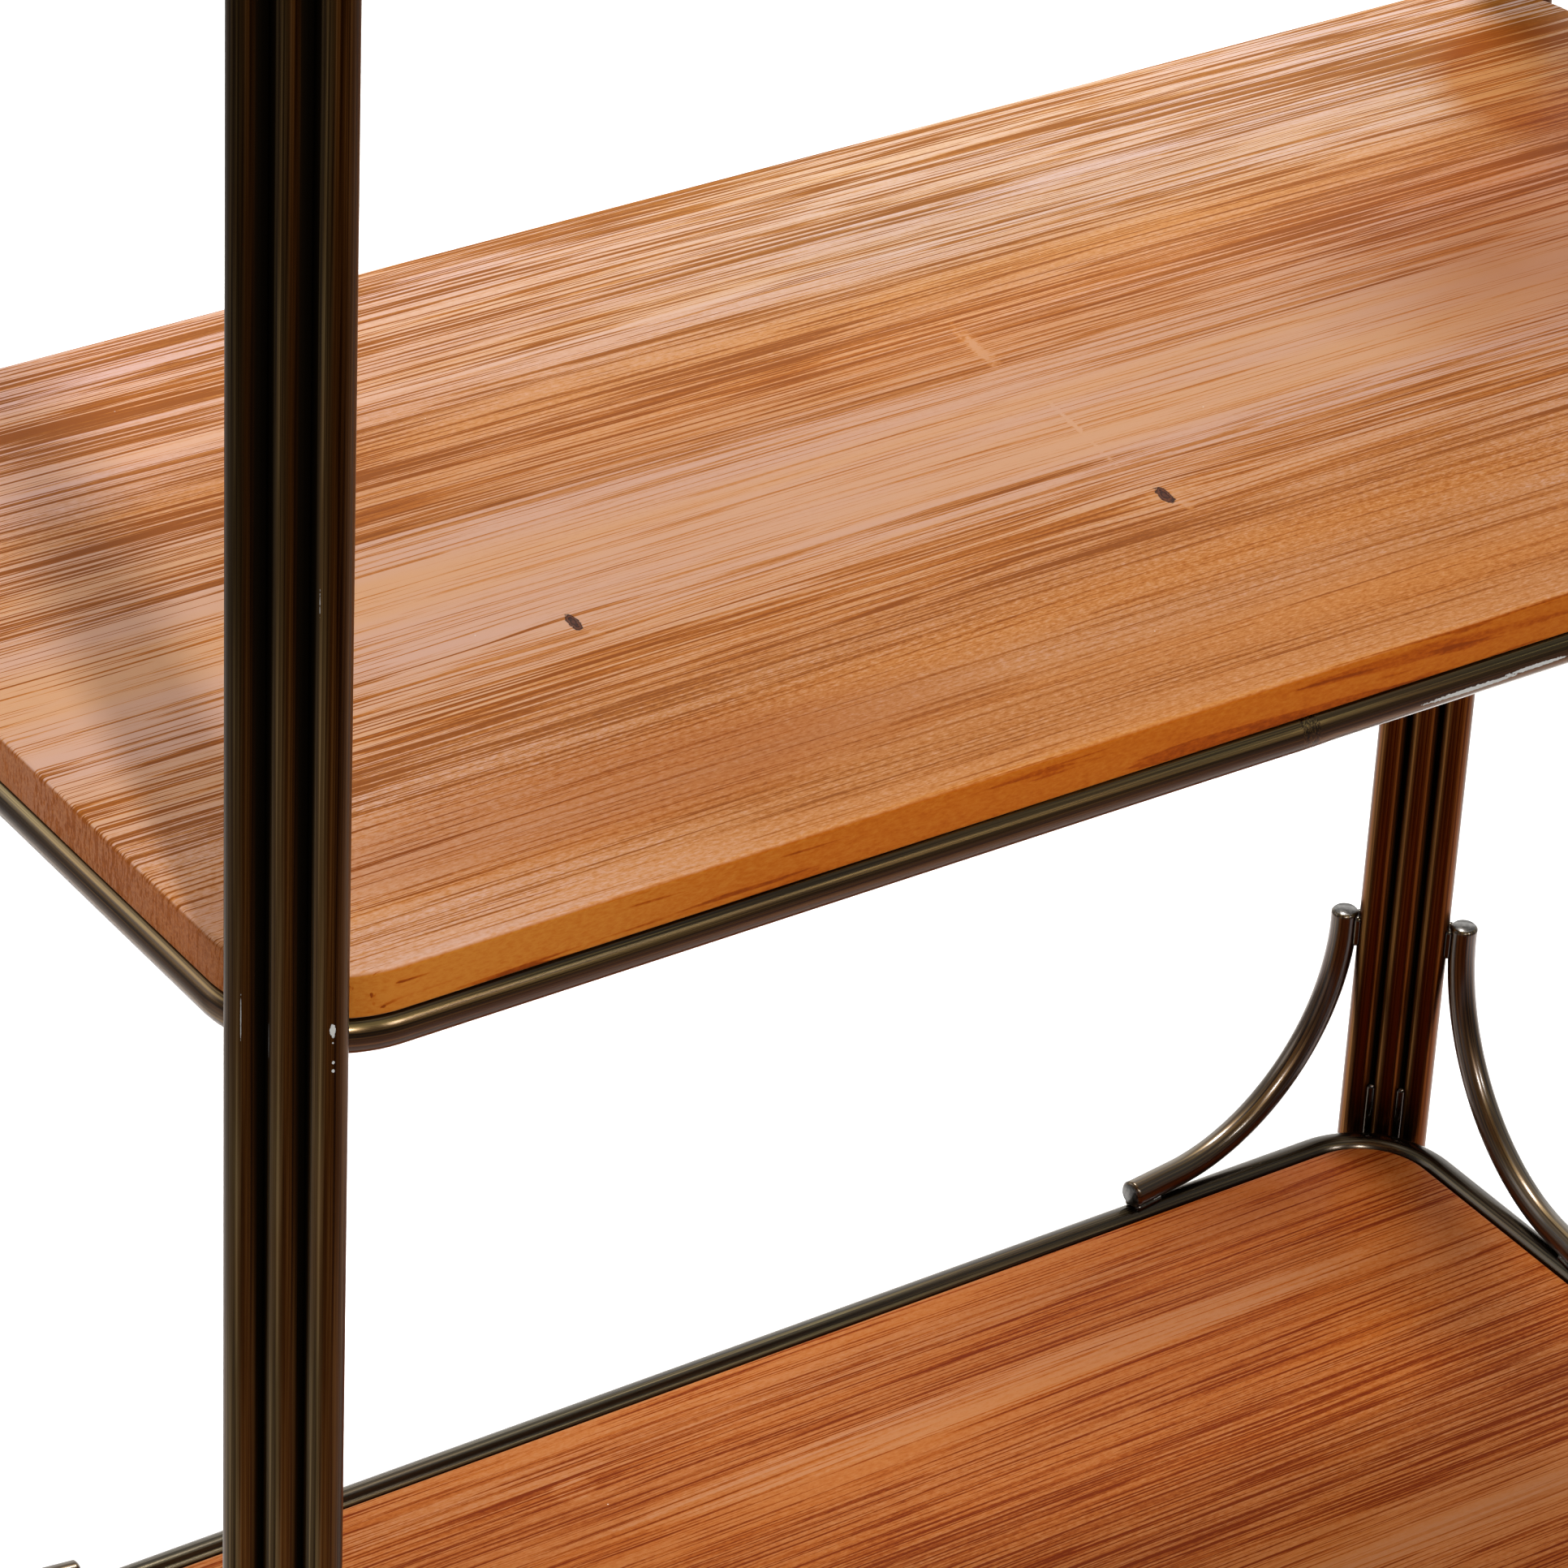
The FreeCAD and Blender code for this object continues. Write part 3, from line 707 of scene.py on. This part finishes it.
# Bottom board: painted shade towards the back right.
low_painted_shades = [((0.300, 0.165, low_top), (0.270, 0.130), 0.0, 0.25, (0.70, 0.62, 0.52)),
              ((0.370, 0.188, low_top), (0.120, 0.036), 0.0, 0.30, (0.76, 0.64, 0.50))]
low_pales = [((0.150, 0.127, low_top), (0.230, 0.013), 0.22),
             ((-0.060, 0.163, low_top), (0.012, 0.009), 0.15)]
board_finish = {
    "bottom": stained_wood("wood_bottom", 3.1, low_zones, red_palette, stains_and_painted_light=low_painted_shades,
                           pales=low_pales, sheen=0.10, clump=0.10, thin_share=0.42,
                           thick_share=0.19),
    # The counter is painted a little darker towards its right end, a painted shade.
    "counter": stained_wood("wood_counter", 1.7, counter_zones, orange_palette, knots, scars,
                            counter_stain_and_painted_light, right_end_shade=0.22, worn=1.0),
    "third": stained_wood("wood_third", 5.3, plain_zones, orange_palette),
    "top": stained_wood("wood_top", 8.9, plain_zones, orange_palette)}
print("wood finishes:", list(board_finish))

# %% [markdown]
# ## Small hardware and welds
# Screws and studs are zinc plated, with a faint cloud of yellow and blue. Pads and plugs are
# moulded plastic with a fine grain. Their solids already have the right shape, so they stay and
# only get these finishes. The foot plates and cross bars take the plain lacquer, and the welds a
# glossier one, because paint pools and shines on a bead.

# %% Zinc and plastic finishes
def zinc_finish():
    """Pale metal with soft clouds."""
    material, tree, shader = new_material("zinc_plate")
    cloud = noise(rack_place(tree), 140.0, 4.0)
    cloud_stops = [(0.35, (0.42, 0.43, 0.44)), (0.65, (0.62, 0.60, 0.55))]
    fill(tree, shader, {
        "Base Color": ramp(cloud, cloud_stops),
        "Roughness": ramp(cloud, [(0.3, 0.28), (0.7, 0.45)]), "Metallic": 1.0})
    return material


def plastic_finish():
    """Near-black plastic with a fine moulded grain."""
    material, tree, shader = new_material("black_plastic")
    place = rack_place(tree)
    grain = noise(place, 1500.0, 2.0)
    cloud = noise(place, 60.0, 3.0)
    cloud_stops = [(0.3, (0.012, 0.011, 0.010)), (0.7, (0.024, 0.022, 0.020))]
    fill(tree, shader, {
        "Base Color": ramp(cloud, cloud_stops),
        "Roughness": ramp(grain, [(0.3, 0.42), (0.7, 0.6)]),
        "Normal": relief(grain, 0.2, 0.0002)})
    return material


def refinish(start, finish):
    """Every kept solid whose name begins with start takes a finish; gives their number."""
    chosen = [solid for node_name, solid in nodes.items() if node_name.startswith(start)]
    for solid in chosen:
        solid.data.materials.clear()
        solid.data.materials.append(finish)
    return len(chosen)


zinc = zinc_finish()
plastic = plastic_finish()
hardware_finish = {"foot_plate": plate_lacquer, "foot_stud": zinc, "foot_pad": plastic,
                   "post_top": plastic, "bar_": plate_lacquer, "screws_": zinc,
                   "welds_": weld_lacquer}
for start, finish in hardware_finish.items():
    print(start, "solids finished:", refinish(start, finish))

# %% [markdown]
# ## Posts
# Each post is three tubes in a row. A tube is a circle carried straight up, with a small chamfer
# at each end and closed tips, set at the middle of its solid's box. Where a tube faces its
# neighbour it is marked for painted shade, which is wider above the counter. Two tubes of the
# near post also get extra painted shade all round above the counter.

# %% Shade between post tubes
shade_from_height, shade_rise_height = 0.60, 0.35
flank_from, flank_widen, flank_blend = 0.58, 0.24, 0.26
# Extra painted shade all round two of the near post's tubes, above the counter.
near_post_painted_shade = {"a": 0.60, "b": 0.20, "c": 0.0}
tube_neighbours = {"a": "b", "b": "ac", "c": "b"}


def flank_shade(middle, neighbours, sides, z, painted_extra_shade):
    """Painted shade: one where a tube faces a neighbour closely, zero where it faces away; wider
    high up, plus an even extra share above the counter.
    """
    angle = np.linspace(0, 2 * np.pi, sides, endpoint=False)
    above = np.clip((z[:, None] - shade_from_height) / shade_rise_height, 0, 1)
    shade = painted_extra_shade * above * np.ones(sides)
    for other in neighbours:
        toward = (other - middle)[:2] / np.linalg.norm((other - middle)[:2])
        facing = np.cos(angle) * toward[0] + np.sin(angle) * toward[1]
        close = (facing - flank_from + flank_widen * above) / flank_blend
        shade = np.maximum(shade, np.clip(close, 0, 1))
    return shade


def tube_middle(corner, letter):
    """Middle of a post tube's box."""
    return np.mean(box("post_" + corner + "_tube_" + letter), axis=0)


print("first tube of the near post stands at", np.round(tube_middle("front_left", "a"), 4))

# %% [markdown]
# One function makes all twelve tubes. The near post gets the chipped lacquer, and the two rear
# posts get the redder, brighter one, which paints in the light on them.

# %% Post tubes
tube_sides, tube_levels, tube_chamfer = 40, 180, 0.0006


def bar_radii(count, radius, chamfer):
    """Radius along a bar: zero at the tip, a chamfer, then full, and the same at the far end."""
    radii = np.full(count, radius)
    radii[[0, -1]] = 0
    radii[[1, -2]] = radius - chamfer
    return radii


def upright_path(middle, z):
    """Points above one another at the given heights, and the circle's two directions."""
    path = np.stack([np.full_like(z, middle[0]), np.full_like(z, middle[1]), z], axis=1)
    return path, np.tile([1.0, 0, 0], (len(z), 1)), np.tile([0, 1.0, 0], (len(z), 1))


def post_tube(corner, letter):
    """Straight tube between its solid's ends."""
    name = "post_" + corner + "_tube_" + letter
    low, high = box(name)
    middle = tube_middle(corner, letter)
    neighbours = [tube_middle(corner, other) for other in tube_neighbours[letter]]
    levels = np.linspace(low[2] + tube_chamfer, high[2] - tube_chamfer, tube_levels)
    z = np.concatenate([[low[2], low[2]], levels, [high[2], high[2]]])
    # Only the near post's tubes take the extra painted shade.
    painted_extra_shade = near_post_painted_shade[letter] if corner == "front_left" else 0.0
    marks = {"shade": flank_shade(middle, neighbours, tube_sides, z, painted_extra_shade)}
    radii = bar_radii(len(z), post_r, tube_chamfer)
    return swept("shown_" + name, *upright_path(middle, z), radii, tube_sides, marks=marks), name


post_finish = {"front_left": chipped_lacquer, "front_right": bar_lacquer,
               "rear_left": rear_lit_lacquer, "rear_right": rear_lit_lacquer}
for corner in corner_sides:
    for letter in "abc":
        piece, name = post_tube(corner, letter)
        dress(piece, post_finish[corner], "lacquered_steel", name)
print("post tubes:", 3 * len(corner_sides))

# %% [markdown]
# Light would shine through the hairline gap between the tubes. So a thin bead closes each
# groove from end to end, marked for painted shade all over so that it is near black.

# %% Groove beads
bead_r, bead_sides, bead_levels = 0.0011, 12, 90


def groove_bead(corner, first, second):
    """Thin round bead from end to end of the groove, half way between two tubes."""
    low, high = box("post_" + corner + "_tube_" + first)
    middle = (tube_middle(corner, first) + tube_middle(corner, second)) / 2
    z = np.concatenate([[low[2]], np.linspace(low[2], high[2], bead_levels), [high[2]]])
    radii = np.full(len(z), bead_r)
    radii[[0, -1]] = 0
    # The bead is marked for painted shade all over, which paints it near black.
    marks = {"shade": np.ones((len(z), bead_sides))}
    name = "groove_" + corner + "_" + first + second
    return swept(name, *upright_path(middle, z), radii, bead_sides, marks=marks)


for corner in corner_sides:
    for first, second in ("ab", "bc"):
        dress(groove_bead(corner, first, second), bar_lacquer, "lacquered_steel")
print("groove beads:", 2 * len(corner_sides))

# %% [markdown]
# ## Shelf frames
# A frame is one tube bent to a rounded rectangle and closed by a butt weld in the middle of its
# front. The path is built from straight runs and four quarter bends, because that is how a
# tube bender makes it. A box can't tell how a tube is bent inside it, so the bend is given.

# %% Rounded path
bend_r = 0.044


def rounded_path(half_length, half_depth, radius, step=0.008, turn=26):
    """Points round a rectangle with rounded corners, anticlockwise from the middle of the front."""
    def run(start, end):
        count = max(2, int(np.linalg.norm(np.subtract(end, start)) / step))
        return np.linspace(start, end, count, endpoint=False)

    def bend(centre, first):
        angle = np.linspace(first, first + np.pi / 2, turn, endpoint=False)
        return np.stack([centre[0] + radius * np.cos(angle),
                         centre[1] + radius * np.sin(angle)], axis=1)

    x, y = half_length, half_depth
    return np.concatenate([
        run((0, -y), (x - radius, -y)), bend((x - radius, -y + radius), -np.pi / 2),
        run((x, -y + radius), (x, y - radius)), bend((x - radius, y - radius), 0),
        run((x - radius, y), (-x + radius, y)), bend((-x + radius, y - radius), np.pi / 2),
        run((-x, y - radius), (-x, -y + radius)), bend((-x + radius, -y + radius), np.pi),
        run((-x + radius, -y), (0, -y))])


def outward_of(path):
    """Unit direction to the right of travel, which points out of an anticlockwise loop."""
    ahead = np.roll(path, -1, axis=0) - np.roll(path, 1, axis=0)
    out = np.stack([ahead[:, 1], -ahead[:, 0]], axis=1)
    return out / np.linalg.norm(out, axis=1)[:, None]


print("points round a frame:", len(rounded_path(half_x, half_y, bend_r)))

# %% [markdown]
# At the weld the tube swells a little, and its two ends miss each other by a hair. Both are
# smooth bumps in the radius and the height, so they need no extra pieces.

# %% Frame tubes
frame_sides = 40
weld_half, weld_swell = 0.003, 0.0002
weld_step, step_fade = 0.0004, 0.03


def frame_tube(shelf):
    """Closed tube; radius + swell exp(-(x / half)^2), and on the left a step exp(-|x| / fade)."""
    flat = rounded_path(half_x, half_y, bend_r)
    out = outward_of(flat)
    x, front = flat[:, 0], flat[:, 1] < 0
    near_weld = np.exp(-(x / weld_half) ** 2) * front
    step_down = -weld_step * np.exp(-np.abs(x) / step_fade) * (x < 0) * front
    path = np.column_stack([flat, shelf_z[shelf] + step_down])
    side = np.column_stack([out, np.zeros(len(out))])
    rise = np.tile([0, 0, 1.0], (len(out), 1))
    radii = frame_r - weld_swell + weld_swell * near_weld
    return swept("shown_frame_" + shelf, path, side, rise, radii, frame_sides, closed=True)


for shelf in shelf_names:
    finish = scratched_lacquer if shelf == "counter" else frame_lacquer
    dress(frame_tube(shelf), finish, "lacquered_steel", "frame_" + shelf)
print("frames:", len(shelf_names))

# %% [markdown]
# ## Boards
# A board is a rounded rectangle of wood with eased edges. A box with a bevel would need its
# corners cut first, so a profile is carried round the outline instead: out from the middle of the
# underside, round the eased lower edge, up the side, over the eased top edge and in to the middle
# of the top. Flat faces are the outline shrunk towards the middle.

# %% Board surfaces
top_ease, low_ease = 0.0020, 0.0010
flat_inset = 0.0004
flat_shrinks = [0, 0.3, 0.6, 0.9, 1]
ease_points = 7
outline_step = 0.012


def board_surface(shelf):
    """Point = (outline - inset outward) times shrink, at each level of the profile."""
    low, high = box("board_" + shelf)
    corner_r = bend_r + (high[0] - half_x)
    flat = rounded_path(high[0], high[1], corner_r, step=outline_step)
    out = outward_of(flat)
    turn = np.linspace(0, np.pi / 2, ease_points)
    face = np.ones(len(flat_shrinks))
    inset = np.concatenate([(low_ease + flat_inset) * face, low_ease * (1 - np.sin(turn)),
                            top_ease * (1 - np.cos(turn)), (top_ease + flat_inset) * face])
    level = np.concatenate([low[2] * face, low[2] + low_ease * (1 - np.cos(turn)),
                            high[2] - top_ease * (1 - np.sin(turn)), high[2] * face])
    shrink = np.concatenate([flat_shrinks, np.ones(2 * ease_points), flat_shrinks[::-1]])
    rim = flat[None, :, :] - inset[:, None, None] * out[None, :, :]
    levels = np.broadcast_to(level[:, None, None], (len(level), len(flat), 1))
    points = np.concatenate([rim * shrink[:, None, None], levels], axis=2)
    faces = grid_faces(len(level), len(flat), False)
    return mesh_object("shown_board_" + shelf, points.reshape(-1, 3), faces)


for shelf in shelf_names:
    slot = "stained_wood_low" if shelf == "bottom" else "stained_wood"
    dress(board_surface(shelf), board_finish[shelf], slot, "board_" + shelf)
print("boards:", len(shelf_names))

# %% [markdown]
# ## Braces
# A brace is a round bar with a short straight end, a quarter bend and another straight end, sawn
# square and lightly chamfered. Its upper end lies beside the post, at the outer corner of its
# solid's box, and its lower end comes down over the frame, so it stands a little askew. The
# thickness, bend and straight end are given, and the rest is read from its box.

# %% Brace bars
brace_r, brace_bend, brace_end = 0.0065, 0.102, 0.028
brace_chamfer, brace_sides = 0.0012, 36
end_clear, bend_clear = 0.002, 0.001
bend_points, end_points = 48, 5


def brace_heading(foot, sides, axis, run_to):
    """Unit direction of the lower end: along its frame tube, and in far enough to lie over it."""
    off_frame = abs(foot[1 - axis]) - (half_y, half_x)[axis]
    along = np.zeros(3)
    along[1 - axis] = -sides[1 - axis] * off_frame / run_to
    along[axis] = -sides[axis] * math.sqrt(1 - (off_frame / run_to) ** 2)
    return along


def brace_bar(corner, run):
    """Bar path: down, a quarter circle, then along; one circle carried along it."""
    name = "brace_" + corner + "_" + run
    low, high = box(name)
    sides = np.array([*corner_sides[corner], 0.0])
    foot = np.where(sides > 0, high - brace_r, low + brace_r)
    foot[2] = low[2] + brace_r
    run_to = brace_bend + brace_end
    rise_to = high[2] - foot[2]
    along = brace_heading(foot, sides, "xy".index(run), run_to)
    up = np.array([0, 0, 1.0])
    turn = np.linspace(0, np.pi / 2, bend_points)
    upper = np.array([rise_to, rise_to, rise_to - brace_chamfer,
                      *np.linspace(rise_to - end_clear, brace_bend + bend_clear, end_points)])
    lower = np.array([*np.linspace(brace_bend + bend_clear, run_to - end_clear, end_points),
                      run_to - brace_chamfer, run_to, run_to])
    no_upper, no_lower = np.zeros(len(upper)), np.zeros(len(lower))
    height = np.concatenate([upper, brace_bend - brace_bend * np.sin(turn), no_lower])
    reach = np.concatenate([no_upper, brace_bend - brace_bend * np.cos(turn), lower])
    lean = np.concatenate([no_upper, turn, no_lower + np.pi / 2])
    path = foot + height[:, None] * up + reach[:, None] * along
    side = np.tile(np.cross(up, along), (len(path), 1))
    rise = np.cos(lean)[:, None] * along + np.sin(lean)[:, None] * up
    tip = np.zeros((len(path), brace_sides))
    tip[[0, 1, -2, -1]] = 1
    radii = bar_radii(len(path), brace_r, brace_chamfer)
    return swept("shown_" + name, path, side, rise, radii, brace_sides, marks={"tip": tip}), name


for corner in corner_sides:
    for run in "xy":
        piece, name = brace_bar(corner, run)
        dress(piece, brace_lacquer, "lacquered_steel", name)
print("braces:", 2 * len(corner_sides))

# %% [markdown]
# ## Camera
# The camera stands in front, to the left and above, and looks down along the shelves with a
# long lens. Aiming it at a point would leave out its small roll, so its three directions are
# worked out from where it looks and which way is right.

# %% Camera
eye = Vector((-1.4137, -1.8849, 2.0756))
ahead = Vector((0.49118, 0.69488, -0.52525)).normalized()
right = Vector((0.83089, -0.55478, 0.04304)).normalized()
above = right.cross(ahead).normalized()
camera_data = bpy.data.cameras.new("camera")
camera_data.lens = 160.98
camera_data.sensor_width = 36.0
camera = bpy.data.objects.new("camera", camera_data)
turn = Matrix((right, above, -ahead)).transposed().to_4x4()
camera.matrix_world = Matrix.Translation(eye) @ turn
bpy.context.scene.collection.objects.link(camera)
bpy.context.scene.camera = camera
print("camera at", [round(value, 3) for value in eye])

# %% [markdown]
# ## Floor and light
# The floor is plain and pale, with a hint of unevenness so that it isn't one flat colour.

# %% Floor
floor_half = 40
floor_mesh = bpy.data.meshes.new("floor")
floor_corners = [(x * floor_half, y * floor_half, 0)
                 for x, y in ((-1, -1), (1, -1), (1, 1), (-1, 1))]
floor_mesh.from_pydata(floor_corners, [], [(0, 1, 2, 3)])
floor = bpy.data.objects.new("floor", floor_mesh)
floor_finish, tree, shader = new_material("pale_floor")
cloud = noise(rack_place(tree), 2.0, 3.0)
fill(tree, shader, {"Base Color": ramp(cloud, [(0.3, 0.90), (0.7, 0.93)]), "Roughness": 0.8})
floor_mesh.materials.append(floor_finish)
bpy.context.scene.collection.objects.link(floor)
print("floor", 2 * floor_half, "metres wide")

# %% [markdown]
# A small strong lamp in front throws the near post's shadow on the board. Broad soft panels at
# the back and sides give the varnish its sheen and draw bright lines along the round bars.

# %% Lamps
def aim(name, data, place, target):
    """Lamp at a place, turned to face a target."""
    made = bpy.data.objects.new(name, data)
    made.location = place
    made.rotation_euler = (Vector(target) - Vector(place)).to_track_quat("-Z", "Y").to_euler()
    made.visible_camera = False
    bpy.context.scene.collection.objects.link(made)


def spot(name, place, target, power, angle, soft, size):
    """Round lamp with a limited cone; size is the radius of its face."""
    data = bpy.data.lights.new(name, "SPOT")
    data.energy = power
    data.spot_size = math.radians(angle)
    data.spot_blend = soft
    data.shadow_soft_size = size
    aim(name, data, place, target)


def panel(name, place, target, width, height, glow):
    """Flat panel of even brightness; power = glow times pi times area."""
    data = bpy.data.lights.new(name, "AREA")
    data.shape = "RECTANGLE"
    data.size, data.size_y = width, height
    data.energy = glow * math.pi * width * height
    aim(name, data, place, target)


shelf_middle = (0, 0.1, 0.9)
counter_middle = (0, 0, 0.8)
spot("key", (-1.62, -4.5, 4.8), shelf_middle, 860, 34, 0.4, 0.24)
spot("fill", (1.5, -4.3, 4.2), shelf_middle, 420, 32, 0.5, 0.35)
spot("floor_wash", (0.8, 1.3, 3.6), (0.8, 1.3, 0), 560, 56, 0.5, 0.3)
panel("back_panel", (1.3, 1.75, 1.05), (0.3, 0.3, 0.9), 2.6, 1.1, 1.1)
panel("top_panel", (0.3, 0.2, 3.6), counter_middle, 2.4, 1.6, 0.9)
panel("left_panel", (-1.05, -0.15, 0.45), (0, -0.15, 0.45), 0.9, 0.75, 0.6)
panel("left_rim", (-2.0, 2.1, 2.2), counter_middle, 1.6, 1.2, 2.6)
print("lamps:", len(bpy.data.lights))

# %% [markdown]
# The sky is bright behind the rack and dim in front of it, so round bars show dark faces and
# bright rims. An even sky would make every bar look flat.

# %% Sky
bright_side = (0.45, 0.75, 0.10)
dim_from, bright_from = -0.5, 0.6
dim_level, bright_level = 0.12, 0.90
world = bpy.data.worlds.new("sky")
world.use_nodes = True
bpy.context.scene.world = world
tree = world.node_tree
tree.nodes.clear()
direction = source(tree, "TexCoord", "Generated")
toward = direction.node("VectorMath", {0: direction, 1: bright_side}, "Value",
                        operation="DOT_PRODUCT")
level = toward.node("MapRange", {"Value": toward, "From Min": dim_from, "From Max": bright_from,
                                 "To Min": dim_level, "To Max": bright_level})
sky = level.node("Background", {"Color": (1, 1, 1, 1), "Strength": level})
add(tree, "OutputWorld", {0: sky})
bpy.context.scene.view_settings.view_transform = "Standard"
print("sky from", dim_level, "to", bright_level)
